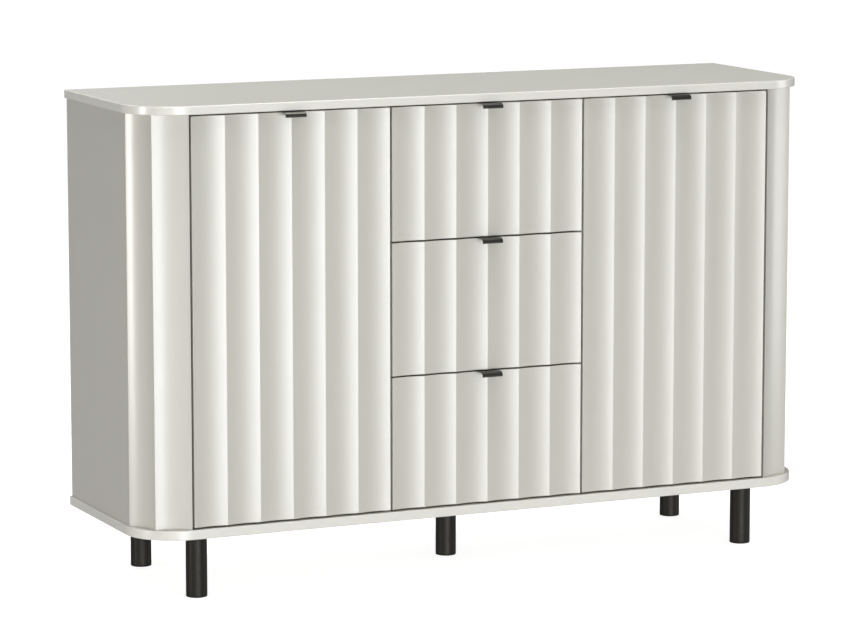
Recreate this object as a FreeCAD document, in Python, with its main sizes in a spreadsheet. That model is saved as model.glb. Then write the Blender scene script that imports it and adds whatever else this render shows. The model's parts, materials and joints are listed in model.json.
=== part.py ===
import FreeCAD, Part
import math
import os
import re
import Sketcher
from FreeCAD import Vector

# A lacquered sideboard on five round legs: two doors, three drawers between them, all with
# fluted faces, and a fluted quarter-round column at each front corner.
# Frame: +X to the right, +Y to the back, +Z up, origin on the floor under the middle.
# Units: millimetres.

DIMENSIONS = {
    "overall_width": 1400,
    "overall_depth": 423,
    "overall_height": 920,
    "board": 16,
    "bottom_board": 18,
    "overhang": 5,
    "corner_radius": 100,
    "edge_round": 1.2,
    "bay_pitch": 400,
    "front_gap": 3,
    "side_gap": 4.5,
    "front_thickness": 19,
    "front_clearance": 1.5,
    "front_flutes": 6,
    "flute_depth": 4,
    "ridge_land": 0.6,
    "column_wall": 24,
    "column_ridge_angle": 43.3,
    "side_lead": 12.5,
    "back_sheet": 3,
    "rebate_depth": 5.5,
    "rebate_width": 8,
    "leg_height": 118,
    "leg_radius": 20,
    "leg_wall": 2,
    "leg_spread": 577,
    "leg_front_inset": 52.5,
    "leg_back_inset": 58.5,
    "leg_plate_size": 60,
    "leg_plate_thick": 2.5,
    "leg_screw_offset": 23,
    "glide_foot": 3,
    "glide_plug": 12,
    "plug_clearance": 0.1,
    "screw_radius": 2,
    "screw_head_radius": 3.8,
    "screw_head_rise": 2,
    "leg_screw_length": 12,
    "back_screw_length": 10,
    "back_screw_rows": 4,
    "pull_width": 42,
    "pull_sheet": 1.5,
    "pull_reach": 22,
    "pull_bend": 8,
    "pull_drop": 8,
    "pull_tail": 16,
    "pivot_radius": 3,
    "pivot_clearance": 0.05,
    "pivot_inset": 20,
    "pivot_engage": 9,
    "pivot_depth": 20,
    "bush_radius": 5,
    "bush_length": 12,
    "shelf_height": 500,
    "shelf_gap": 1,
    "shelf_setback": 22,
    "pin_radius": 2.5,
    "pin_depth": 8,
    "pin_length": 16,
    "pin_rows": 5,
    "pin_pitch": 32,
    "pin_from_front": 30,
    "pin_from_back": 60,
    "cam_radius": 7.5,
    "cam_depth": 12,
    "cam_from_edge": 34,
    "cam_from_front": 20,
    "cam_from_back": 30,
    "catch_width": 46,
    "catch_depth": 16,
    "catch_height": 14,
    "strike_width": 36,
    "strike_height": 12,
    "strike_thick": 1,
    "drawer_wall": 12,
    "drawer_base": 6,
    "drawer_height": 180,
    "drawer_length": 350,
    "drawer_lift": 25,
    "drawer_groove": 10,
    "runner_space": 12.7,
    "rail_sheet": 1.2,
    "rail_length": 345,
    "cabinet_rail_height": 45,
    "cabinet_rail_depth": 9,
    "middle_rail_height": 40.8,
    "middle_rail_start": 4.8,
    "middle_rail_end": 10.5,
    "drawer_rail_height": 35,
    "drawer_rail_start": 7,
}

doc = FreeCAD.newDocument("sideboard")
sheet = doc.addObject("Spreadsheet::Sheet", "dims")
for row, (word, number) in enumerate(DIMENSIONS.items(), start=1):
    sheet.set(f"A{row}", word)
    sheet.set(f"B{row}", str(number))
    sheet.setAlias(f"B{row}", word)
doc.recompute()

# Planes of the whole object, as formulas of the sheet's cells.
FACE = "(pull_reach - overall_depth / 2)"
PLATE_FRONT = "(pull_reach - overhang - overall_depth / 2)"
REAR = "(overall_depth / 2)"
SHEET_FRONT = "(overall_depth / 2 - rebate_depth)"
INNER_FRONT = "(pull_reach - overall_depth / 2 + front_thickness + front_clearance)"
DECK = "(leg_height + bottom_board)"
CEILING = "(overall_height - board)"
CLEAR_HEIGHT = "(overall_height - leg_height - bottom_board - board)"
SIDE_INNER = "(overall_width / 2 - overhang - board)"
COLUMN_X = "(overall_width / 2 - corner_radius)"
COLUMN_Y = "(pull_reach - overhang - overall_depth / 2 + corner_radius)"
SIDE_FRONT = "(pull_reach - overhang - overall_depth / 2 + corner_radius - side_lead)"
FRONT_WIDTH = "(bay_pitch - side_gap)"
FRONT_LOW = "(leg_height + bottom_board + front_gap)"
DOOR_HEIGHT = "(overall_height - leg_height - bottom_board - board - 2 * front_gap)"
DRAWER_FRONT_HEIGHT = "((overall_height - leg_height - bottom_board - board - 4 * front_gap) / 3)"
BAY_HALF = "(bay_pitch / 2 - board / 2)"
PARTITION_OUTER = "(bay_pitch / 2 + board / 2)"
DRAWER_HALF = "(bay_pitch / 2 - board / 2 - runner_space)"
DOOR_BACK = "(pull_reach - overall_depth / 2 + front_thickness)"
SIDES = {"left": -1, "right": 1}
parts = []


def formula(text):
    """The text with every word that the sheet knows turned into a reference to its cell."""
    def cell(match):
        word = match.group()
        return "dims." + word if word in DIMENSIONS else word
    return re.sub(r"[a-z_]+", cell, text)


def bind(thing, **formulas):
    """Bind properties of thing to formulas of the sheet; place=(x, y, z) binds its position."""
    for axis, text in zip("xyz", formulas.pop("place", ())):
        thing.setExpression("Placement.Base." + axis, formula(text))
    for name, text in formulas.items():
        thing.setExpression(name, formula(text))


def keep(thing):
    """Count thing as one of the sideboard's pieces."""
    parts.append(thing)
    return thing


# Part primitives.

def box(label, size, centre):
    """A board or block of a given size about a given centre."""
    block = doc.addObject("Part::Box", label)
    bind(block, Length=size[0], Width=size[1], Height=size[2],
         place=[f"{middle} - ({span}) / 2" for middle, span in zip(centre, size)])
    return block


def rod(label, radius, length, start, direction=Vector(0, 0, 1)):
    """A round rod from its start point along a direction."""
    cylinder = doc.addObject("Part::Cylinder", label)
    cylinder.Placement.Rotation = FreeCAD.Rotation(Vector(0, 0, 1), direction)
    bind(cylinder, Radius=radius, Height=length, place=start)
    return cylinder


def joined(label, members):
    """Several solids fused into one."""
    fusion = doc.addObject("Part::MultiFuse", label)
    fusion.Shapes = members
    return fusion


def less(label, base, tool):
    """One solid with another cut out of it."""
    difference = doc.addObject("Part::Cut", label)
    difference.Base = base
    difference.Tool = tool
    return difference


def group(label, members):
    """Identical small pieces, each its own solid, that share a name."""
    compound = doc.addObject("Part::Compound", label)
    compound.Links = members
    return compound


def screw(label, length, seat, direction):
    """A screw whose round head stands on its seat and whose shank runs along direction."""
    head = rod(label + "_head", "screw_head_radius", "screw_head_rise", seat, direction * -1)
    shank = rod(label + "_shank", "screw_radius", length, seat, direction)
    return joined(label, [head, shank])


# PartDesign bodies.

def new_body(label, place=("0", "0", "0")):
    """An empty body at a place bound to the sheet."""
    body = doc.addObject("PartDesign::Body", label)
    bind(body, place=place)
    return body


def new_sketch(body, name, plane="XY_Plane", rise=None):
    """A sketch on one of the body's origin planes, or at a height above it."""
    sketch = body.newObject("Sketcher::SketchObject", body.Name + "_" + name)
    face = next(item for item in body.Origin.OriginFeatures if item.Role == plane)
    sketch.AttachmentSupport = [(face, "")]
    sketch.MapMode = "FlatFace"
    if rise:
        sketch.setExpression("AttachmentOffset.Base.z", formula(rise))
    return sketch


def pin_point(sketch, geometry, point, place):
    """Hold one point of a sketch at a place measured from the sketch's origin."""
    for kind, text in zip(("DistanceX", "DistanceY"), place):
        index = sketch.addConstraint(Sketcher.Constraint(kind, -1, 1, geometry, point, 1.0))
        sketch.setExpression(f"Constraints[{index}]", formula(text))


def outline(sketch, corners):
    """A closed outline of straight edges through corners given as formulas, anticlockwise."""
    first = sketch.GeometryCount
    count = len(corners)
    turn = [2 * math.pi * index / count for index in range(count)]
    guess = [Vector(math.cos(angle), math.sin(angle), 0) for angle in turn]
    for index in range(count):
        sketch.addGeometry(Part.LineSegment(guess[index], guess[(index + 1) % count]), False)
    for index in range(count):
        following = first + (index + 1) % count
        sketch.addConstraint(Sketcher.Constraint("Coincident", first + index, 2, following, 1))
    for index, place in enumerate(corners):
        pin_point(sketch, first + index, 1, place)


def rectangle(sketch, low, high):
    """A rectangle between two opposite corners."""
    outline(sketch, [low, (high[0], low[1]), high, (low[0], high[1])])


def circle(sketch, centre, radius):
    """A circle with its centre and radius bound to the sheet."""
    ring = sketch.addGeometry(Part.Circle(Vector(0, 0, 0), Vector(0, 0, 1), 1.0), False)
    index = sketch.addConstraint(Sketcher.Constraint("Radius", ring, 1.0))
    sketch.setExpression(f"Constraints[{index}]", formula(radius))
    pin_point(sketch, ring, 3, centre)


def pad(body, sketch, length, reverse=False, midplane=False):
    """Thicken a sketch into a solid."""
    feature = body.newObject("PartDesign::Pad", sketch.Name + "_pad")
    feature.Profile = sketch
    feature.Reversed = reverse
    feature.SideType = "Symmetric" if midplane else "One side"
    bind(feature, Length=length)
    doc.recompute()
    return feature


def pocket(body, sketch, length, reverse=False):
    """Cut a sketch into the body; a pocket that removes nothing is a mistake."""
    before = body.Shape.Volume
    feature = body.newObject("PartDesign::Pocket", sketch.Name + "_pocket")
    feature.Profile = sketch
    feature.Reversed = reverse
    bind(feature, Length=length)
    doc.recompute()
    if body.Shape.Volume > before - 1:
        raise RuntimeError(feature.Name + " cuts nothing")
    return feature


def repeat(body, feature, sketch, axis, span, count):
    """Repeat a cut at even steps along one axis of its sketch, over a total span."""
    before = body.Shape.Volume
    pattern = body.newObject("PartDesign::LinearPattern", feature.Name + "_row")
    pattern.Originals = [feature]
    pattern.Direction = (sketch, [axis])
    bind(pattern, Length=span, Occurrences=count)
    body.Tip = pattern
    doc.recompute()
    if body.Shape.Volume > before - 1:
        raise RuntimeError(pattern.Name + " repeats nothing")


def round_edges(body, feature, radius, chosen):
    """Round those edges of a feature whose middle point passes the test."""
    edges = enumerate(feature.Shape.Edges, start=1)
    names = [f"Edge{number}" for number, edge in edges if chosen(edge)]
    fillet = body.newObject("PartDesign::Fillet", feature.Name + "_round")
    fillet.Base = (feature, names)
    bind(fillet, Radius=radius)
    doc.recompute()
    return fillet


def upright(edge):
    """True for a straight edge along Z."""
    return abs(edge.tangentAt(edge.FirstParameter).z) > 0.99


def middle_at(edge, x, y, z):
    """True for an edge whose middle is at a point of the body's own frame."""
    return edge.CenterOfMass.isEqual(Vector(x, y, z), 0.01)


# Carcass.

def plate(label, height, thickness, pocket_upwards):
    """Top or bottom panel: two round front corners, a rebate for the back and two bush bores."""
    body = new_body(label, place=("0", PLATE_FRONT, height))
    base = new_sketch(body, "outline")
    depth = f"({REAR} - {PLATE_FRONT})"
    rectangle(base, ("-overall_width / 2", "0"), ("overall_width / 2", depth))
    blank = pad(body, base, thickness)
    corners = round_edges(body, blank, "corner_radius",
                          lambda edge: upright(edge) and edge.CenterOfMass.y < 1)
    round_edges(body, corners, "edge_round", lambda edge: not upright(edge))
    inner = "0" if pocket_upwards else thickness
    rebate = new_sketch(body, "rebate", rise=inner)
    rectangle(rebate, (f"-{SIDE_INNER} - rebate_width", f"{depth} - rebate_depth"),
              (f"{SIDE_INNER} + rebate_width", f"{depth} + 1"))
    pocket(body, rebate, "rebate_width", reverse=pocket_upwards)
    bores = new_sketch(body, "bush_bores", rise=inner)
    for side in SIDES.values():
        circle(bores, (f"{side} * {PIVOT_X}", f"{PIVOT_Y} - {PLATE_FRONT}"), "bush_radius")
    pocket(body, bores, "bush_length", reverse=pocket_upwards)
    return keep(body)


def upright_board(label, inner_x, front, side, rear_step):
    """A side panel or partition, drilled on the face that looks into the door's compartment.

    side is +1 where the board lies on the +X side of that face, and -1 on the other side.
    A board with a rear step runs to the rear plane and has the rebate for the back in it.
    """
    body = new_body(label, place=(inner_x, "0", DECK))
    base = new_sketch(body, "outline", plane="YZ_Plane")
    rear = REAR if rear_step else SHEET_FRONT
    rectangle(base, (front, "0"), (rear, CLEAR_HEIGHT))
    pad(body, base, "board", reverse=side < 0)
    if rear_step:
        rebate = new_sketch(body, "rebate", plane="YZ_Plane")
        rectangle(rebate, (SHEET_FRONT, "-1"), (f"{REAR} + 1", f"{CLEAR_HEIGHT} + 1"))
        pocket(body, rebate, "rebate_width", reverse=side > 0)
    cams = new_sketch(body, "cam_bores", plane="YZ_Plane")
    for row in CAM_ROWS:
        for height in ("cam_from_edge", f"{CLEAR_HEIGHT} - cam_from_edge"):
            circle(cams, (row, height), "cam_radius")
    pocket(body, cams, "cam_depth", reverse=side > 0)
    holes = new_sketch(body, "pin_holes", plane="YZ_Plane")
    low = f"shelf_height - {DECK} - pin_radius - pin_pitch * (pin_rows - 1) / 2"
    for row in PIN_ROWS:
        circle(holes, (row, low), "pin_radius")
    first = pocket(body, holes, "pin_depth", reverse=side > 0)
    repeat(body, first, holes, "V_Axis", "pin_pitch * (pin_rows - 1)", "pin_rows")
    return keep(body)


def corner_column():
    """The right-hand column: a sector of a thick ring with two flutes in its outer face.

    Ridges stand at the column's front, at the ridge angle and where the side panel begins.
    Angles start at the front and run towards the side.
    """
    radius = "(corner_radius - overhang)"
    body = new_body("right_corner_column", place=(COLUMN_X, COLUMN_Y, DECK))
    ring = new_sketch(body, "ring")
    circle(ring, ("0", "0"), radius)
    circle(ring, ("0", "0"), f"{radius} - column_wall")
    pad(body, ring, CLEAR_HEIGHT)
    spare = new_sketch(body, "spare_quarters")
    outline(spare, [("side_gap / 2", "-corner_radius"), ("side_gap / 2", "-side_lead"),
                    ("corner_radius", "-side_lead"), ("corner_radius", "corner_radius"),
                    ("-corner_radius", "corner_radius"), ("-corner_radius", "-corner_radius")])
    pocket(body, spare, CLEAR_HEIGHT, reverse=True)
    ridges = (f"asin(side_gap / 2 / {radius})", "column_ridge_angle * 1 deg", f"acos(side_lead / {radius})")
    for number, (start, end) in enumerate(zip(ridges, ridges[1:]), start=1):
        half_chord = f"({radius} * sin(({end} - {start}) / 2) - ridge_land / 2)"
        bend = f"({half_chord} ^ 2 + flute_depth ^ 2) / (2 * flute_depth)"
        reach = f"({radius} * cos(({end} - {start}) / 2) - flute_depth + {bend})"
        middle = f"(({start} + {end}) / 2)"
        flute = new_sketch(body, f"flute_{number}")
        circle(flute, (f"{reach} * sin({middle})", f"-{reach} * cos({middle})"), bend)
        pocket(body, flute, CLEAR_HEIGHT, reverse=True)
    return keep(body)


def mirrored(label, source):
    """The same piece on the other side of the sideboard."""
    mirror = doc.addObject("Part::Mirroring", label)
    mirror.Source = source
    mirror.Normal = Vector(1, 0, 0)
    return keep(mirror)


def shelf(name, side):
    """A shelf with a corner left out for the column's stile."""
    stile_face = f"({COLUMN_X} + side_gap / 2)"
    width = f"({SIDE_INNER} - {PARTITION_OUTER} - 2 * shelf_gap)"
    depth = f"({SHEET_FRONT} - shelf_gap - {INNER_FRONT} - shelf_setback)"
    middle = f"{side} * ({SIDE_INNER} + {PARTITION_OUTER}) / 2"
    blank = box(name + "_blank", (width, depth, "board"),
                (middle, f"{SHEET_FRONT} - shelf_gap - {depth} / 2", "shelf_height + board / 2"))
    notch = box(name + "_notch", ("corner_radius", "corner_radius", "board * 2"),
                (f"{side} * ({stile_face} - shelf_gap + corner_radius / 2)",
                 f"{COLUMN_Y} + shelf_gap - corner_radius / 2", "shelf_height + board / 2"))
    return keep(less(name, blank, notch))


def rail(body, near, far, half_height, side, web_at_far):
    """A C-shaped rail section in the XZ plane, open towards or away from the partition.

    near and far are distances from the partition's face, and side says which way they run.
    """
    back = f"({far} - rail_sheet)" if web_at_far else f"({near} + rail_sheet)"
    web, mouth = (far, near) if web_at_far else (near, far)
    lip = f"({half_height} - rail_sheet)"
    profile = new_sketch(body, "section", plane="XZ_Plane")
    corners = [(web, f"-{half_height}"), (mouth, f"-{half_height}"), (mouth, f"-{lip}"), (back, f"-{lip}"),
               (back, lip), (mouth, lip), (mouth, half_height), (web, half_height)]
    outline(profile, [(f"{side} * {across}", up) for across, up in corners])
    pad(body, profile, "rail_length", reverse=True)
    return body


def runner_rail(label, near, far, height, side, centre, web_at_far):
    """One rail of a telescopic runner beside the partition on the given side of the drawers."""
    body = new_body(label, place=(f"{side} * {BAY_HALF}", f"{INNER_FRONT} + front_clearance", centre))
    return rail(body, near, far, f"({height} / 2)", -side, web_at_far)


# Feet.

def leg(name, x, y):
    """A steel tube welded to a square mounting plate."""
    body = new_body(name, place=(x, y, "glide_foot"))
    tube_height = "(leg_height - leg_plate_thick - glide_foot)"
    tube = new_sketch(body, "tube")
    circle(tube, ("0", "0"), "leg_radius")
    circle(tube, ("0", "0"), "leg_radius - leg_wall")
    pad(body, tube, tube_height)
    base = new_sketch(body, "plate", rise=tube_height)
    half = "leg_plate_size / 2"
    rectangle(base, (f"-{half}", f"-{half}"), (half, half))
    for across in (-1, 1):
        for along in (-1, 1):
            circle(base, (f"{across} * leg_screw_offset", f"{along} * leg_screw_offset"), "screw_radius")
    pad(body, base, "leg_plate_thick")
    return keep(body)


# Doors and drawers.

def fluted_front(label, centre_x, low, height):
    """A board with shallow round flutes side by side along its whole height."""
    body = new_body(label, place=(centre_x, FACE, low))
    base = new_sketch(body, "outline")
    half = f"{FRONT_WIDTH} / 2"
    rectangle(base, (f"-{half}", "0"), (half, "front_thickness"))
    pad(body, base, height)
    pitch = f"({FRONT_WIDTH} / front_flutes)"
    bend = f"((({pitch} - ridge_land) / 2) ^ 2 + flute_depth ^ 2) / (2 * flute_depth)"
    flute = new_sketch(body, "flute")
    circle(flute, (f"-{half} + {pitch} / 2", f"flute_depth - {bend}"), bend)
    first = pocket(body, flute, height, reverse=True)
    repeat(body, first, flute, "H_Axis", f"{pitch} * (front_flutes - 1)", "front_flutes")
    return body


def door(name, side):
    """A fluted front with a blind bore for a pivot pin in its top and bottom edge."""
    body = fluted_front(name, f"{side} * bay_pitch", FRONT_LOW, DOOR_HEIGHT)
    place = (f"{side} * ({FRONT_WIDTH} / 2 - pivot_inset)", "front_thickness / 2")
    for end, rise, inward in (("bottom", "0", True), ("top", DOOR_HEIGHT, False)):
        bore = new_sketch(body, end + "_bore", rise=rise)
        circle(bore, place, "pivot_radius")
        pocket(body, bore, "pivot_depth", reverse=inward)
    return keep(body)


def edge_pull(label, centre_x, top):
    """Bent sheet: a tail behind the front, a flange over its top edge and a lip curving down."""
    body = new_body(label, place=(centre_x, FACE, top))
    profile = new_sketch(body, "profile", plane="YZ_Plane")
    behind = "front_thickness + pull_sheet"
    outline(profile, [("-pull_reach", "-pull_drop"), ("pull_sheet - pull_reach", "-pull_drop"),
                      ("pull_sheet - pull_reach", "0"), ("front_thickness", "0"),
                      ("front_thickness", "-pull_tail"), (behind, "-pull_tail"),
                      (behind, "pull_sheet"), ("-pull_reach", "pull_sheet")])
    blank = pad(body, profile, "pull_width", midplane=True)
    reach = DIMENSIONS["pull_reach"]
    thick = DIMENSIONS["pull_sheet"]
    outer = round_edges(body, blank, "pull_bend", lambda edge: middle_at(edge, 0, -reach, thick))
    round_edges(body, outer, "pull_bend - pull_sheet", lambda edge: middle_at(edge, 0, thick - reach, 0))
    return keep(body)


def drawer(name, level):
    """A drawer box behind a fluted front, its pull and its rails; returns the cabinet's rails."""
    low = f"({FRONT_LOW} + {level} * ({DRAWER_FRONT_HEIGHT} + front_gap))"
    keep(fluted_front(name + "_front", "0", low, DRAWER_FRONT_HEIGHT))
    edge_pull(name + "_pull", "0", f"{low} + {DRAWER_FRONT_HEIGHT}")
    middle_z = f"({low} + drawer_lift + drawer_height / 2)"
    middle_y = f"({DOOR_BACK} + drawer_length / 2)"
    for word, side in SIDES.items():
        keep(box(f"{name}_{word}_side", ("drawer_wall", "drawer_length", "drawer_height"),
                 (f"{side} * ({DRAWER_HALF} - drawer_wall / 2)", middle_y, middle_z)))
    inner_width = f"(2 * ({DRAWER_HALF} - drawer_wall))"
    keep(box(name + "_back", (inner_width, "drawer_wall", "drawer_height"),
             ("0", f"{DOOR_BACK} + drawer_length - drawer_wall / 2", middle_z)))
    keep(box(name + "_base", (inner_width, "drawer_length - drawer_wall", "drawer_base"),
             ("0", f"{DOOR_BACK} + (drawer_length - drawer_wall) / 2",
              f"{low} + drawer_lift + drawer_groove + drawer_base / 2")))
    middle = [runner_rail(f"{name}_{word}_middle", "middle_rail_start", "middle_rail_end",
                          "middle_rail_height", side, middle_z, False) for word, side in SIDES.items()]
    keep(group(name + "_middle_rails", middle))
    inner = [runner_rail(f"{name}_{word}_inner", "drawer_rail_start", "runner_space",
                         "drawer_rail_height", side, middle_z, True) for word, side in SIDES.items()]
    keep(group(name + "_rails", inner))
    return [runner_rail(f"{name}_{word}_cabinet", "0", "cabinet_rail_depth",
                        "cabinet_rail_height", side, middle_z, False) for word, side in SIDES.items()]


PIVOT_X = f"(bay_pitch + {FRONT_WIDTH} / 2 - pivot_inset)"
PIVOT_Y = f"({FACE} + front_thickness / 2)"
PIN_ROWS = (f"{COLUMN_Y} + pin_from_front", f"{SHEET_FRONT} - pin_from_back")
CAM_ROWS = (f"{COLUMN_Y} + cam_from_front", f"{SHEET_FRONT} - cam_from_back")
LEG_FRONT = f"{PLATE_FRONT} + leg_front_inset"
LEG_BACK = f"{REAR} - leg_back_inset"

plate("top_panel", CEILING, "board", True)
plate("bottom_panel", "leg_height", "bottom_board", False)
for word, side in SIDES.items():
    upright_board(f"{word}_side_panel", f"{side} * {SIDE_INNER}", SIDE_FRONT, side, rear_step=True)
    upright_board(f"{word}_partition", f"{side} * {PARTITION_OUTER}", INNER_FRONT, -side, rear_step=False)
right_column = corner_column()
mirrored("left_corner_column", right_column)

for word, side in SIDES.items():
    depth = f"({COLUMN_Y} - {INNER_FRONT})"
    across = f"{side} * ({COLUMN_X} + side_gap / 2 + board / 2)"
    blank = box(f"{word}_stile_blank", ("board", depth, CLEAR_HEIGHT),
                (across, f"{INNER_FRONT} + {depth} / 2", f"{DECK} + {CLEAR_HEIGHT} / 2"))
    hollow = rod(f"{word}_stile_hollow", "corner_radius - overhang", CLEAR_HEIGHT,
                 (f"{side} * {COLUMN_X}", COLUMN_Y, DECK))
    core = rod(f"{word}_stile_core", "corner_radius - overhang - column_wall", CLEAR_HEIGHT,
               (f"{side} * {COLUMN_X}", COLUMN_Y, DECK))
    ring = less(f"{word}_stile_ring", hollow, core)
    keep(less(f"{word}_column_stile", blank, ring))
    shelf(f"{word}_shelf", side)

# Back panels, each in the rebate behind one bay, and their screws.
sheet_y = f"{SHEET_FRONT} + back_sheet / 2"
sheet_z = f"({DECK} + {CLEAR_HEIGHT} / 2)"
sheet_height = f"({CLEAR_HEIGHT} + 2 * rebate_width)"
keep(box("middle_back_panel", ("bay_pitch", "back_sheet", sheet_height), ("0", sheet_y, sheet_z)))
screw_places = []
for word, side in SIDES.items():
    outer_x = f"({SIDE_INNER} + rebate_width)"
    keep(box(f"{word}_back_panel", (f"({outer_x} - bay_pitch / 2)", "back_sheet", sheet_height),
             (f"{side} * ({outer_x} + bay_pitch / 2) / 2", sheet_y, sheet_z)))
    lines = (f"{side} * ({outer_x} - rebate_width / 2)", f"{side} * (bay_pitch / 2 - board / 4)",
             f"{side} * (bay_pitch / 2 + board / 4)")
    for line in lines:
        for row in range(DIMENSIONS["back_screw_rows"]):
            share = f"{row} / (back_screw_rows - 1)"
            height = f"{DECK} + cam_from_edge / 2 + {share} * ({CLEAR_HEIGHT} - cam_from_edge)"
            screw_places.append((line, f"{SHEET_FRONT} + back_sheet", height))
keep(group("back_panel_screws", [screw(f"back_screw_{index}", "back_screw_length", place, Vector(0, -1, 0))
                                 for index, place in enumerate(screw_places)]))

# Pins under the shelves and cam locks, each in its bore.
pins = []
cams = []
for word, side in SIDES.items():
    for end, face, inward in (("outer", SIDE_INNER, -side), ("inner", PARTITION_OUTER, side)):
        for number, row in enumerate(PIN_ROWS):
            start = (f"{side} * {face} - {inward} * pin_depth", row, "shelf_height - pin_radius")
            pins.append(rod(f"pin_{word}_{end}_{number}", "pin_radius", "pin_length", start,
                            Vector(inward, 0, 0)))
        for number, row in enumerate(CAM_ROWS):
            for level, height in enumerate((f"{DECK} + cam_from_edge", f"{CEILING} - cam_from_edge")):
                start = (f"{side} * {face} - {inward} * cam_depth", row, height)
                cams.append(rod(f"cam_{word}_{end}_{number}_{level}", "cam_radius", "cam_depth", start,
                                Vector(inward, 0, 0)))
keep(group("shelf_pins", pins))
keep(group("cam_locks", cams))

# Feet.
feet = {
    "front_left_leg": ("-leg_spread", LEG_FRONT),
    "front_right_leg": ("leg_spread", LEG_FRONT),
    "back_left_leg": ("-leg_spread", LEG_BACK),
    "back_right_leg": ("leg_spread", LEG_BACK),
    "centre_leg": ("0", "0"),
}
glides = []
leg_screws = []
for name, (x, y) in feet.items():
    leg(name, x, y)
    shoe = rod(name + "_shoe", "leg_radius", "glide_foot", (x, y, "0"))
    plug = rod(name + "_plug", "leg_radius - leg_wall - plug_clearance", "glide_foot + glide_plug",
               (x, y, "0"))
    glides.append(joined(name + "_glide", [shoe, plug]))
    for across in (-1, 1):
        for along in (-1, 1):
            seat = (f"{x} + {across} * leg_screw_offset", f"{y} + {along} * leg_screw_offset",
                    "leg_height - leg_plate_thick")
            leg_screws.append(screw(f"{name}_screw_{across + 1}_{along + 1}", "leg_screw_length", seat,
                                    Vector(0, 0, 1)))
keep(group("foot_glides", glides))
keep(group("leg_screws", leg_screws))

# Doors, their pivots, pulls and catches.
bushes = []
catches = []
for word, side in SIDES.items():
    door(f"{word}_door", side)
    edge_pull(f"{word}_door_pull", f"{side} * bay_pitch", f"{FRONT_LOW} + {DOOR_HEIGHT}")
    pivot_length = "pivot_depth + front_gap + pivot_engage"
    bottom_start = f"{DECK} - pivot_engage"
    top_start = f"{FRONT_LOW} + {DOOR_HEIGHT} - pivot_depth"
    pivots = [rod(f"{word}_pivot_{end}", "pivot_radius", pivot_length,
                  (f"{side} * {PIVOT_X}", PIVOT_Y, low))
              for end, low in (("bottom", bottom_start), ("top", top_start))]
    keep(group(f"{word}_door_pivot_pins", pivots))
    for end, low in (("bottom", f"{DECK} - bush_length"), ("top", CEILING)):
        place = (f"{side} * {PIVOT_X}", PIVOT_Y, low)
        sleeve = rod(f"{word}_bush_{end}_outer", "bush_radius", "bush_length", place)
        bore = rod(f"{word}_bush_{end}_bore", "pivot_radius + pivot_clearance", "bush_length", place)
        bushes.append(less(f"{word}_bush_{end}", sleeve, bore))
    catch_x = f"{side} * ({PARTITION_OUTER} + catch_width)"
    keep(box(f"{word}_strike_plate", ("strike_width", "strike_thick", "strike_height"),
             (catch_x, f"{DOOR_BACK} + strike_thick / 2", f"{CEILING} - catch_height / 2 - front_gap")))
    catches.append(box(f"{word}_catch", ("catch_width", "catch_depth", "catch_height"),
                       (catch_x, f"{INNER_FRONT} + catch_depth / 2", f"{CEILING} - catch_height / 2")))
keep(group("pivot_bushes", bushes))
keep(group("magnetic_catches", catches))

cabinet_rails = []
for level, name in enumerate(("lower_drawer", "middle_drawer", "upper_drawer")):
    cabinet_rails += drawer(name, level)
keep(group("cabinet_rails", cabinet_rails))

doc.recompute()

failed = [thing.Label for thing in doc.Objects if {"Invalid", "Error"} & set(thing.State)]
failed += [piece.Label for piece in parts if piece.Shape.isNull() or not piece.Shape.isValid()]
if failed:
    raise RuntimeError("not written, because these failed: " + ", ".join(failed))

os.makedirs("parts", exist_ok=True)
for piece in parts:
    piece.Shape.exportStep(f"parts/{piece.Label}.step")
print(len(parts), "pieces written")
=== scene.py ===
import json
import math

import bmesh
import bpy
from mathutils import Matrix, Vector


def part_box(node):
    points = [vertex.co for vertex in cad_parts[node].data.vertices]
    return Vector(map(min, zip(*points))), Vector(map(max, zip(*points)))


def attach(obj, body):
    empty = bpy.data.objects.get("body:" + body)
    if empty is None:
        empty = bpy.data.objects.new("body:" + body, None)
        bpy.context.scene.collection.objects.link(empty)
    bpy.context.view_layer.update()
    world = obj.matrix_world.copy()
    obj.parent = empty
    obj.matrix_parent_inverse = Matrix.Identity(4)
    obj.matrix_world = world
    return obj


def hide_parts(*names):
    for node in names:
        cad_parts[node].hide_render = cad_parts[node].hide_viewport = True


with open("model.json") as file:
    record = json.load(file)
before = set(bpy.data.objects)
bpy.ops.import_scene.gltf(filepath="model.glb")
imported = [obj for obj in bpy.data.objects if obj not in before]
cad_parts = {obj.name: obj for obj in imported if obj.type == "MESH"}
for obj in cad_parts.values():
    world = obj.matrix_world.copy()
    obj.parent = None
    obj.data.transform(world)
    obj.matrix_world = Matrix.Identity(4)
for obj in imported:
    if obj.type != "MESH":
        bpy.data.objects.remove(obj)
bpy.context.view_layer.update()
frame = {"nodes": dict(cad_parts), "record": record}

# The sideboard's lacquered fronts, columns, feet, pulls and fittings, built finely around the
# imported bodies. Units: metres, in the row frame. +X right, +Y back, +Z up, front faces -Y.

MM = 0.001

# Fronts, columns and the two plates.
FLUTES = 6
FLUTE_DEPTH = 4 * MM
FLUTE_STEPS = 22
FRONT_EDGE = 0.7 * MM
COLUMN_WALL = 24 * MM
COLUMN_RIDGE = math.radians(43.3)
COLUMN_EDGE = 0.35 * MM
COLUMN_BACK_STEPS = 24
PLATE_CORNER = 100 * MM
PLATE_CORNER_STEPS = 40
PLATE_EDGE = 1.6 * MM
OVERHANG = 5 * MM
REBATE_DEPTH = 5.5 * MM
REBATE_WIDTH = 8 * MM
BUSH_RADIUS = 5 * MM
BUSH_LENGTH = 12 * MM
# A plate's face is flat when its normal points up or down by more than this; the rest is its edge, which
# gets the lacquer painted lighter as painted light.
FLAT_NORMAL = 0.9

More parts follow.
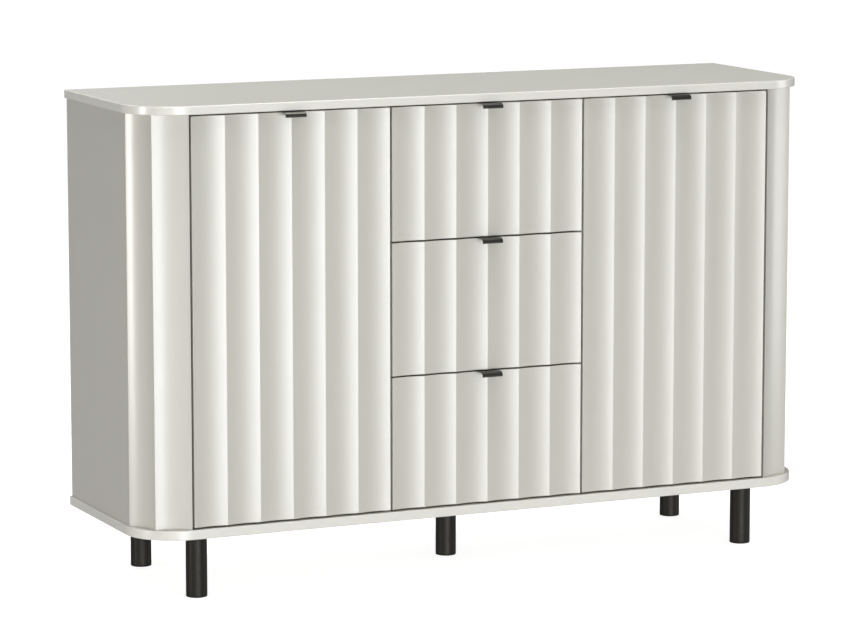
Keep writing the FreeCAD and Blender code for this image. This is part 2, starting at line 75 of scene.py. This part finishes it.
# Pulls.
SHEET = 1.5 * MM
PULL_BEND = 8 * MM
PULL_REAR_BEND = 2.2 * MM
PULL_DROP = 8 * MM
PULL_EDGE = 0.35 * MM

# Legs and glides.
LEG_RADIUS = 20 * MM
LEG_WALL = 2 * MM
LEG_RIM = 0.5 * MM
LEG_RIM_BEVEL = 0.15 * MM
LEG_RINGS = 11
WELD_BEAD = 1.6 * MM
WELD_STEPS = 4
LEG_PLATE = 2.5 * MM
LEG_PLATE_CORNER = 5 * MM
LEG_PLATE_EDGE = 0.4 * MM
GLIDE_TOP = 15 * MM
TURN_STEPS = 96

body_of_node = {}
for body_name, members in frame["record"]["behaviour"]["bodies"].items():
    for member in members:
        body_of_node[member] = body_name
slot_of_node = {row["node"]: row["material_slot"] for row in frame["record"]["subparts"]}


# Materials.

class Nodes:
    """A material's node tree with short calls for the nodes used here."""

    def __init__(self, name):
        self.material = bpy.data.materials.new(name)
        self.material.use_nodes = True
        self.tree = self.material.node_tree
        self.tree.nodes.clear()
        output = self.tree.nodes.new("ShaderNodeOutputMaterial")
        self.shader = self.tree.nodes.new("ShaderNodeBsdfPrincipled")
        self.link(self.shader.outputs["BSDF"], output.inputs["Surface"])
        self.place = self.tree.nodes.new("ShaderNodeTexCoord").outputs["Object"]

    def link(self, source, target):
        self.tree.links.new(source, target)

    def set(self, **values):
        for name, value in values.items():
            self.shader.inputs[name.replace("_", " ")].default_value = value

    def noise(self, scale, detail=2.0, stretch=(1, 1, 1)):
        mapping = self.tree.nodes.new("ShaderNodeMapping")
        mapping.inputs["Scale"].default_value = stretch
        self.link(self.place, mapping.inputs["Vector"])
        texture = self.tree.nodes.new("ShaderNodeTexNoise")
        texture.inputs["Scale"].default_value = scale
        texture.inputs["Detail"].default_value = detail
        self.link(mapping.outputs["Vector"], texture.inputs["Vector"])
        return texture.outputs["Fac"]

    def ramp(self, factor, first, last, low=0.3, high=0.7):
        """Colours from first to last as the factor goes from low to high."""
        ramp = self.tree.nodes.new("ShaderNodeValToRGB")
        ramp.color_ramp.elements[0].position = low
        ramp.color_ramp.elements[1].position = high
        ramp.color_ramp.elements[0].color = (*first, 1)
        ramp.color_ramp.elements[1].color = (*last, 1)
        self.link(factor, ramp.inputs["Fac"])
        return ramp.outputs["Color"]

    def spread(self, factor, low, high):
        """A number between low and high from a factor between 0.3 and 0.7."""
        node = self.tree.nodes.new("ShaderNodeMapRange")
        node.inputs["From Min"].default_value = 0.3
        node.inputs["From Max"].default_value = 0.7
        node.inputs["To Min"].default_value = low
        node.inputs["To Max"].default_value = high
        self.link(factor, node.inputs["Value"])
        return node.outputs["Result"]

    def bump(self, height, distance, base=None):
        node = self.tree.nodes.new("ShaderNodeBump")
        node.inputs["Strength"].default_value = 1.0
        node.inputs["Distance"].default_value = distance
        self.link(height, node.inputs["Height"])
        if base:
            self.link(base, node.inputs["Normal"])
        return node.outputs["Normal"]


def shade(colour, amount):
    """The colour made lighter or darker."""
    return tuple(min(1.0, channel * amount) for channel in colour)


def surface(name, colour, roughness, variation=0.03, grain=900, relief=0.00001, cloud=3.0,
            stretch=(1, 1, 1), **settings):
    """A painted, moulded or metal surface: cloudy colour, uneven gloss and a fine relief."""
    nodes = Nodes(name)
    clouds = nodes.noise(cloud, detail=4, stretch=stretch)
    fine = nodes.noise(grain, detail=3, stretch=stretch)
    colour_out = nodes.ramp(clouds, shade(colour, 1 - variation), shade(colour, 1 + variation))
    nodes.link(colour_out, nodes.shader.inputs["Base Color"])
    smudges = nodes.noise(cloud * 6, detail=5, stretch=stretch)
    nodes.link(nodes.spread(smudges, roughness * 0.88, roughness * 1.12), nodes.shader.inputs["Roughness"])
    nodes.link(nodes.bump(fine, relief), nodes.shader.inputs["Normal"])
    nodes.set(**settings)
    return nodes.material


def lacquer_material(name, base):
    """Sprayed satin lacquer: warm white, slight orange peel, faint long waves and a clear coat."""
    nodes = Nodes(name)
    clouds = nodes.noise(2.2, detail=3)
    colour = nodes.ramp(clouds, shade(base, 0.985), shade(base, 1.015), 0.25, 0.75)
    nodes.link(colour, nodes.shader.inputs["Base Color"])
    smudges = nodes.noise(14, detail=6)
    nodes.link(nodes.spread(smudges, 0.37, 0.42), nodes.shader.inputs["Roughness"])
    waves = nodes.bump(nodes.noise(35, detail=1), 0.00002)
    peel = nodes.bump(nodes.noise(420, detail=2), 0.000008, waves)
    nodes.link(peel, nodes.shader.inputs["Normal"])
    nodes.link(peel, nodes.shader.inputs["Coat Normal"])
    nodes.set(Coat_Weight=1.0, Coat_Roughness=0.24, Coat_IOR=1.7, IOR=1.6)
    return nodes.material


materials = {
    "lacquered_board": lacquer_material("warm_white_lacquer", (0.698, 0.683, 0.620)),
    "inner_board": surface("white_melamine", (0.72, 0.71, 0.67), 0.5, grain=1500, relief=0.00002),
    "drawer_board": surface("drawer_melamine", (0.70, 0.69, 0.65), 0.55, grain=1100, relief=0.00003,
                            stretch=(1, 0.12, 1)),
    "back_sheet": surface("painted_hardboard", (0.62, 0.61, 0.57), 0.72, variation=0.05, grain=500,
                          relief=0.00008, cloud=6.0),
    "black_steel": surface("black_powder_coat", (0.0035, 0.0034, 0.003), 0.46, variation=0.15, grain=1400,
                           relief=0.00003, cloud=20.0, Specular_Tint=(1.0, 0.97, 0.86, 1)),
    "dark_metal": surface("dark_bronze", (0.075, 0.073, 0.065), 0.30, variation=0.1, grain=2600,
                          relief=0.00001, cloud=40.0, stretch=(0.08, 1, 1), Metallic=0.85),
    "runner_steel": surface("zinc_plated_sheet", (0.60, 0.61, 0.63), 0.33, variation=0.06, grain=1800,
                            relief=0.00001, cloud=30.0, stretch=(1, 0.06, 1), Metallic=1.0),
    "zinc_steel": surface("bright_zinc", (0.66, 0.66, 0.65), 0.28, variation=0.08, grain=3000,
                          relief=0.00001, cloud=90.0, Metallic=1.0),
    "black_plastic": surface("black_moulded_plastic", (0.02, 0.02, 0.02), 0.55, variation=0.1, grain=2200,
                             relief=0.00003, cloud=60.0),
    "nylon": surface("natural_nylon", (0.74, 0.73, 0.68), 0.45, variation=0.02, grain=1500,
                     relief=0.00002, cloud=50.0, Subsurface_Weight=0.15, Subsurface_Scale=0.003),
}
# Painted light: a lighter copy of the warm white lacquer for the plates' edges, so they look brighter than
# fronts that face the same way.
edge_painted_light = lacquer_material("lacquer_painted_lighter_on_edges", (0.90, 0.885, 0.825))


# Mesh building.

def new_piece(name, mesh_maker, node):
    """An object from a bmesh that stands for a CAD node, rides on its body and has its finish."""
    bmesh.ops.recalc_face_normals(mesh_maker, faces=mesh_maker.faces)
    mesh = bpy.data.meshes.new(name)
    mesh_maker.to_mesh(mesh)
    mesh_maker.free()
    for face in mesh.polygons:
        face.use_smooth = True
    piece = bpy.data.objects.new(name, mesh)
    bpy.context.scene.collection.objects.link(piece)
    normals = piece.modifiers.new("weighted", "WEIGHTED_NORMAL")
    normals.weight = 100
    slot = slot_of_node[node]
    mesh.materials.append(materials[slot])
    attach(piece, body_of_node[node])
    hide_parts(node)
    return piece


def prism(outline, axis, low, high):
    """A bmesh with this outline swept along an axis; the outline's plane is the other two axes."""
    order = {"x": (2, 0, 1), "y": (0, 2, 1), "z": (0, 1, 2)}[axis]
    mesh = bmesh.new()
    ends = []
    for level in (low, high):
        ring = []
        for across, up in outline:
            values = (across, up, level)
            ring.append(mesh.verts.new([values[index] for index in order]))
        ends.append(ring)
    count = len(outline)
    for index in range(count):
        following = (index + 1) % count
        mesh.faces.new([ends[0][index], ends[0][following], ends[1][following], ends[1][index]])
    mesh.faces.new(ends[0][::-1])
    mesh.faces.new(ends[1])
    bmesh.ops.recalc_face_normals(mesh, faces=mesh.faces)
    return mesh


def arc(centre, radius, start, end, steps):
    """Points on a circle from one angle to another, in degrees, both ends included."""
    points = []
    for step in range(steps + 1):
        angle = math.radians(start + (end - start) * step / steps)
        points.append((centre[0] + radius * math.cos(angle), centre[1] + radius * math.sin(angle)))
    return points


def soften(mesh, width, segments, above):
    """Round every edge where the surface turns by more than an angle, given in degrees."""
    limit = math.radians(above)
    edges = [edge for edge in mesh.edges if edge.is_manifold and edge.calc_face_angle(0) > limit]
    bmesh.ops.bevel(mesh, geom=edges, offset=width, offset_type="OFFSET", segments=segments,
                    profile=0.5, affect="EDGES", clamp_overlap=True)
    return mesh


def carve(piece, *tools):
    """Cut other meshes out of a piece, and forget them."""
    for tool in tools:
        bmesh.ops.recalc_face_normals(tool, faces=tool.faces)
        data = bpy.data.meshes.new("tool")
        tool.to_mesh(data)
        tool.free()
        cutter = bpy.data.objects.new("tool", data)
        bpy.context.scene.collection.objects.link(cutter)
        cut = piece.modifiers.new("cut", "BOOLEAN")
        cut.object = cutter
        cut.solver = "EXACT"
        while piece.modifiers[0] != cut:
            bpy.context.view_layer.objects.active = piece
            with bpy.context.temp_override(object=piece):
                bpy.ops.object.modifier_move_up(modifier=cut.name)
        with bpy.context.temp_override(object=piece):
            bpy.ops.object.modifier_apply(modifier=cut.name)
        bpy.data.objects.remove(cutter)


def block(low, high):
    """A plain box between two corners."""
    mesh = bmesh.new()
    size = Vector(high) - Vector(low)
    middle = (Vector(high) + Vector(low)) / 2
    place = Matrix.Translation(middle) @ Matrix.Diagonal((*size, 1))
    bmesh.ops.create_cube(mesh, size=1.0, matrix=place)
    return mesh


def cylinder(start, end, radius):
    """A round rod between two points."""
    start, end = Vector(start), Vector(end)
    turn = (end - start).to_track_quat("Z", "Y").to_matrix().to_4x4()
    place = Matrix.Translation((start + end) / 2) @ turn
    mesh = bmesh.new()
    bmesh.ops.create_cone(mesh, cap_ends=True, segments=48, radius1=radius, radius2=radius,
                          depth=(end - start).length, matrix=place)
    return mesh


def lathe(profile, centre):
    """A surface turned about a vertical axis; profile points are (radius, height)."""
    mesh = bmesh.new()
    rings = []
    for radius, height in profile:
        if radius == 0:
            rings.append([mesh.verts.new((centre[0], centre[1], height))])
            continue
        ring = []
        for step in range(TURN_STEPS):
            angle = 2 * math.pi * step / TURN_STEPS
            ring.append(mesh.verts.new((centre[0] + radius * math.cos(angle),
                                        centre[1] + radius * math.sin(angle), height)))
        rings.append(ring)
    for lower, upper in zip(rings, rings[1:]):
        for step in range(TURN_STEPS):
            following = (step + 1) % TURN_STEPS
            corners = [lower[step % len(lower)], lower[following % len(lower)],
                       upper[following % len(upper)], upper[step % len(upper)]]
            mesh.faces.new(list(dict.fromkeys(corners)))
    return mesh


def add(mesh, other):
    """Put a copy of one bmesh into another."""
    data = bpy.data.meshes.new("copy")
    other.to_mesh(data)
    mesh.from_mesh(data)
    bpy.data.meshes.remove(data)


def cleaned(node):
    """A CAD node's own shape as a bmesh, its split corners joined and its flat faces whole."""
    mesh = bmesh.new()
    mesh.from_mesh(frame["nodes"][node].data)
    bmesh.ops.remove_doubles(mesh, verts=mesh.verts, dist=0.001 * MM)
    bmesh.ops.dissolve_limit(mesh, angle_limit=math.radians(0.5), use_dissolve_boundaries=False,
                             verts=mesh.verts, edges=mesh.edges)
    return mesh


def from_cad(node, width, above=40.0):
    """A CAD node's own shape with its arrises softened."""
    new_piece(node + "_shown", soften(cleaned(node), width, 2, above), node)


# Lacquered pieces.

def plate(node, inner_at_low):
    """Top or bottom panel with two round front corners, a rebate, the bushes' bores and edges painted
    lighter as painted light.
    """
    low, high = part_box(node)
    corner_y = low.y + PLATE_CORNER
    outline = [(high.x, high.y), (low.x, high.y)]
    outline += arc((low.x + PLATE_CORNER, corner_y), PLATE_CORNER, 180, 270, PLATE_CORNER_STEPS)
    outline += arc((high.x - PLATE_CORNER, corner_y), PLATE_CORNER, 270, 360, PLATE_CORNER_STEPS)
    mesh = soften(prism(outline, "z", low.z, high.z), PLATE_EDGE, 4, above=45)
    piece = new_piece(node + "_shown", mesh, node)
    inner = low.z if inner_at_low else high.z
    into = 1 if inner_at_low else -1
    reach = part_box("right_side_panel")[0].x + REBATE_WIDTH
    heights = sorted((inner - into * MM, inner + into * REBATE_WIDTH))
    tools = [block((-reach, high.y - REBATE_DEPTH, heights[0]), (reach, high.y + MM, heights[1]))]
    for side in ("left", "right"):
        pin_low, pin_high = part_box(f"{side}_door_pivot_pins")
        middle = (pin_low + pin_high) / 2
        tools.append(cylinder((middle.x, middle.y, inner - into * MM),
                              (middle.x, middle.y, inner + into * BUSH_LENGTH), BUSH_RADIUS))
    carve(piece, *tools)
    # Painted light: every face that is not flat, that is the plate's edge, takes the lighter lacquer.
    piece.data.materials.append(edge_painted_light)
    for face in piece.data.polygons:
        if abs(face.normal.z) < FLAT_NORMAL:
            face.material_index = 1


def fluted_outline(low, high):
    """Plan of a front from low to high: flat back, flutes side by side along the face."""
    pitch = (high.x - low.x) / FLUTES
    bend = (pitch ** 2 / 4 + FLUTE_DEPTH ** 2) / (2 * FLUTE_DEPTH)
    half_angle = math.degrees(math.asin(pitch / 2 / bend))
    points = []
    for number in range(FLUTES):
        centre = (low.x + pitch * (number + 0.5), low.y + FLUTE_DEPTH - bend)
        points += arc(centre, bend, 90 + half_angle, 90 - half_angle, FLUTE_STEPS)[:-1]
    return [(low.x, high.y)] + points + [(high.x, low.y), (high.x, high.y)]


def fluted_front(node):
    """A door or drawer front; its ridges are crisp and its arrises slightly rounded."""
    low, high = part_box(node)
    mesh = prism(fluted_outline(low, high), "z", low.z, high.z)
    soften(mesh, FRONT_EDGE, 3, above=20)
    new_piece(node + "_shown", mesh, node)


def column(node, side):
    """A sector of a thick ring with two hollow flutes in its outer face.

    Angles start at the front and run towards the side, about the plates' corner centre.
    """
    low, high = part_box(node)
    plate_low, plate_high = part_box("top_panel")
    centre = (plate_high.x - PLATE_CORNER, plate_low.y + PLATE_CORNER)
    radius = PLATE_CORNER - OVERHANG
    inner = radius - COLUMN_WALL
    gap = min(abs(low.x), abs(high.x)) - centre[0]
    lead = centre[1] - high.y
    ridges = (math.asin(gap / radius), COLUMN_RIDGE, math.acos(lead / radius))
    points = []
    for start, end in zip(ridges, ridges[1:]):
        half_angle = (end - start) / 2
        half_chord = radius * math.sin(half_angle)
        bend = (half_chord ** 2 + FLUTE_DEPTH ** 2) / (2 * FLUTE_DEPTH)
        reach = radius * math.cos(half_angle) - FLUTE_DEPTH + bend
        middle = start + half_angle
        hub = (reach * math.sin(middle), -reach * math.cos(middle))
        towards = 90 + math.degrees(middle)
        spread = math.degrees(math.asin(half_chord / bend))
        points += arc(hub, bend, towards + spread, towards - spread, FLUTE_STEPS)[:-1]
    points.append((radius * math.sin(ridges[-1]), -lead))
    back_start = math.degrees(math.acos(lead / inner))
    back_end = math.degrees(math.asin(gap / inner))
    points += arc((0, 0), inner, back_start - 90, back_end - 90, COLUMN_BACK_STEPS)
    placed = [(side * (centre[0] + x), centre[1] + y) for x, y in points]
    mesh = prism(placed, "z", low.z, high.z)
    soften(mesh, COLUMN_EDGE, 3, above=20)
    new_piece(node + "_shown", mesh, node)


plate("top_panel", True)
plate("bottom_panel", False)
column("right_corner_column", 1)
column("left_corner_column", -1)
for front in ("left_door", "right_door", "lower_drawer_front", "middle_drawer_front", "upper_drawer_front"):
    fluted_front(front)
for side in ("left", "right"):
    from_cad(side + "_side_panel", 0.5 * MM)
    from_cad(side + "_partition", 0.5 * MM)
    from_cad(side + "_column_stile", 0.3 * MM)
    from_cad(side + "_shelf", 0.6 * MM)
    from_cad(side + "_back_panel", 0.3 * MM)
from_cad("middle_back_panel", 0.3 * MM)
for level in ("lower", "middle", "upper"):
    for board in ("left_side", "right_side", "back", "base"):
        from_cad(f"{level}_drawer_{board}", 0.5 * MM)


# Pulls: bent sheet, a flange over the front's top edge and a lip that curves down.

def pull(node):
    """The bent sheet of one pull, its side view swept along its width."""
    low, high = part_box(node)
    drop = high.z - SHEET - PULL_DROP
    hub = (low.y + PULL_BEND, high.z - PULL_BEND)
    hub_rear = (high.y - PULL_REAR_BEND, high.z - PULL_REAR_BEND)
    outline = [(low.y, drop)]
    outline += arc(hub, PULL_BEND, 180, 90, 24)
    outline += arc(hub_rear, PULL_REAR_BEND, 90, 0, 8)
    outline += [(high.y, low.z), (high.y - SHEET, low.z)]
    outline += arc(hub_rear, PULL_REAR_BEND - SHEET, 0, 90, 8)
    outline += arc(hub, PULL_BEND - SHEET, 90, 180, 24)
    outline += [(low.y + SHEET, drop)]
    mesh = prism(outline, "x", low.x, high.x)
    soften(mesh, PULL_EDGE, 2, above=45)
    new_piece(node + "_shown", mesh, node)


for node in sorted(frame["nodes"]):
    if node.endswith("_pull"):
        pull(node)


# Feet.

def leg(node):
    """A tube with a weld bead under a square plate with round corners."""
    low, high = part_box(node)
    middle = (low + high) / 2
    half = (high.x - low.x) / 2
    plate_low = high.z - LEG_PLATE
    outline = []
    for start, (across, along) in zip((0, 90, 180, 270), ((1, 1), (-1, 1), (-1, -1), (1, -1))):
        hub = (middle.x + across * (half - LEG_PLATE_CORNER), middle.y + along * (half - LEG_PLATE_CORNER))
        outline += arc(hub, LEG_PLATE_CORNER, start, start + 90, 8)
    mesh = soften(prism(outline, "z", plate_low, high.z), LEG_PLATE_EDGE, 2, above=45)
    profile = [(LEG_RADIUS - LEG_WALL, plate_low), (LEG_RADIUS - LEG_WALL, low.z),
               (LEG_RADIUS - LEG_RIM, low.z), (LEG_RADIUS - LEG_RIM_BEVEL, low.z + LEG_RIM_BEVEL),
               (LEG_RADIUS, low.z + LEG_RIM)]
    for step in range(1, LEG_RINGS + 1):
        profile.append((LEG_RADIUS, low.z + (plate_low - WELD_BEAD - low.z) * step / LEG_RINGS))
    for step in range(1, WELD_STEPS + 1):
        angle = math.radians(90 * step / WELD_STEPS)
        profile.append((LEG_RADIUS + WELD_BEAD * (1 - math.cos(angle)),
                        plate_low - WELD_BEAD * (1 - math.sin(angle))))
    add(mesh, lathe(profile, (middle.x, middle.y)))
    new_piece(node + "_shown", mesh, node)


def glide(node):
    """The moulded shoe under a leg and its plug inside the tube, as a bmesh."""
    low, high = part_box(node)
    centre = (low + high) / 2
    plug = LEG_RADIUS - 2.1 * MM
    profile = [(0, 0), (LEG_RADIUS - 1.2 * MM, 0), (LEG_RADIUS - 0.4 * MM, 0.3 * MM),
               (LEG_RADIUS - 0.1 * MM, 0.9 * MM), (LEG_RADIUS - 0.1 * MM, low.z),
               (plug, low.z), (plug, GLIDE_TOP), (0, GLIDE_TOP)]
    return lathe(profile, (centre.x, centre.y))


glides = bmesh.new()
for node in sorted(frame["nodes"]):
    if node.endswith("_leg"):
        leg(node)
        add(glides, glide(node))
new_piece("foot_glides_shown", glides, "foot_glides")


# Fittings that show when the doors and drawers are open, and screws on the back.

for node in ("leg_screws", "back_panel_screws", "shelf_pins", "cam_locks", "pivot_bushes",
             "left_door_pivot_pins", "right_door_pivot_pins"):
    from_cad(node, 0.3 * MM, above=60)
for node in ("magnetic_catches", "left_strike_plate", "right_strike_plate"):
    from_cad(node, 0.4 * MM)
for node in sorted(frame["nodes"]):
    if node.endswith("_rails"):
        from_cad(node, 0.25 * MM)


# Floor, light and camera.

FLOOR_REACH = 60
FLOOR_GREY = (0.6, 0.6, 0.6, 1)
FLOOR_GLOW = 0.88
WORLD_LIGHT = 0.245
WALL_DISTANCE = 15
WALL_MIDDLE = -1.3
WALL_HEIGHT = 4.4
# A curved wall of soft light stands in front, brightest straight ahead: each panel's two
# azimuths in degrees and its power in watts.
WALL_PANELS = (
    (-31, -19, 21),
    (-19, -8.5, 83),
    (-8.5, 1.5, 192),
    (1.5, 11.5, 303),
    (11.5, 17, 101),
    (17, 31.5, 108),
    (31.5, 51, 110),
)
WHITE = (1, 1, 1, 1)


def white_to_camera(tree, seen, background):
    """A shader's output that the camera sees as white, and that lights the rest as given."""
    ray = tree.nodes.new("ShaderNodeLightPath")
    mix = tree.nodes.new("ShaderNodeMixShader")
    tree.links.new(ray.outputs["Is Camera Ray"], mix.inputs["Fac"])
    tree.links.new(background, mix.inputs[1])
    tree.links.new(seen, mix.inputs[2])
    return mix.outputs["Shader"]


def floor():
    """A matt white floor. The softboxes reach below it, as in a glossy studio floor."""
    mesh = bpy.data.meshes.new("floor")
    corners = [(across * FLOOR_REACH, along * FLOOR_REACH, 0)
               for across, along in ((-1, -1), (1, -1), (1, 1), (-1, 1))]
    mesh.from_pydata(corners, [], [(0, 1, 2, 3)])
    ground = bpy.data.objects.new("floor", mesh)
    bpy.context.scene.collection.objects.link(ground)
    ground.visible_shadow = False
    ground.visible_glossy = False
    material = bpy.data.materials.new("white_floor")
    material.use_nodes = True
    tree = material.node_tree
    tree.nodes.clear()
    output = tree.nodes.new("ShaderNodeOutputMaterial")
    matt = tree.nodes.new("ShaderNodeBsdfDiffuse")
    matt.inputs["Color"].default_value = FLOOR_GREY
    glow = tree.nodes.new("ShaderNodeEmission")
    glow.inputs["Strength"].default_value = FLOOR_GLOW
    lit = tree.nodes.new("ShaderNodeAddShader")
    tree.links.new(matt.outputs["BSDF"], lit.inputs[0])
    tree.links.new(glow.outputs["Emission"], lit.inputs[1])
    seen = white_to_camera(tree, lit.outputs["Shader"], matt.outputs["BSDF"])
    tree.links.new(seen, output.inputs["Surface"])
    mesh.materials.append(material)


def softbox(name, azimuth, distance, height, size, power, colour=(1, 1, 1)):
    """A rectangular area light. Azimuth 0 is straight in front of the sideboard, 90 is its left."""
    light = bpy.data.lights.new(name, "AREA")
    light.shape = "RECTANGLE"
    light.size, light.size_y = size
    light.energy = power
    light.color = colour
    lamp = bpy.data.objects.new(name, light)
    turn = math.radians(azimuth)
    lamp.location = (-distance * math.sin(turn), -distance * math.cos(turn), height)
    aim = Vector((0, 0, min(height, 0.5)))
    lamp.rotation_euler = (aim - lamp.location).to_track_quat("-Z", "Y").to_euler()
    lamp.visible_camera = False
    bpy.context.scene.collection.objects.link(lamp)


floor()
for number, (start, end, power) in enumerate(WALL_PANELS):
    width = WALL_DISTANCE * math.radians(end - start)
    softbox(f"wall_{number}", (start + end) / 2, WALL_DISTANCE, WALL_MIDDLE, (width, WALL_HEIGHT), power)
softbox("left", 83, 6, 0.3, (0.7, 1.7), 56, (1.0, 0.98, 0.94))
softbox("right", -68, 6, 0.3, (2.4, 1.7), 35)
softbox("front_high", 0, 4.5, 3.2, (2.5, 2.0), 13)
softbox("back_high", 180, 4.5, 3.2, (2.5, 2.0), 13)
softbox("overhead", 0, 0.01, 4.0, (2.5, 2.5), 128, (1.0, 1.0, 0.97))

world = bpy.data.worlds.new("studio")
bpy.context.scene.world = world
world.use_nodes = True
studio = world.node_tree
ambient = studio.nodes["Background"]
ambient.inputs["Color"].default_value = WHITE
ambient.inputs["Strength"].default_value = WORLD_LIGHT
backdrop = studio.nodes.new("ShaderNodeBackground")
backdrop.inputs["Color"].default_value = WHITE
backdrop.inputs["Strength"].default_value = 1.0
surroundings = white_to_camera(studio, backdrop.outputs["Background"], ambient.outputs["Background"])
studio.links.new(surroundings, studio.nodes["World Output"].inputs["Surface"])

camera_data = bpy.data.cameras.new("camera")
camera_data.lens = 161.46
camera_data.clip_end = 200
camera = bpy.data.objects.new("camera", camera_data)
camera.location = (-3.137, -6.757, 1.609)
camera.rotation_euler = (math.radians(90 - 8.66), 0, math.radians(-24.72))
bpy.context.scene.collection.objects.link(camera)
bpy.context.scene.camera = camera
bpy.context.scene.view_settings.view_transform = "Standard"
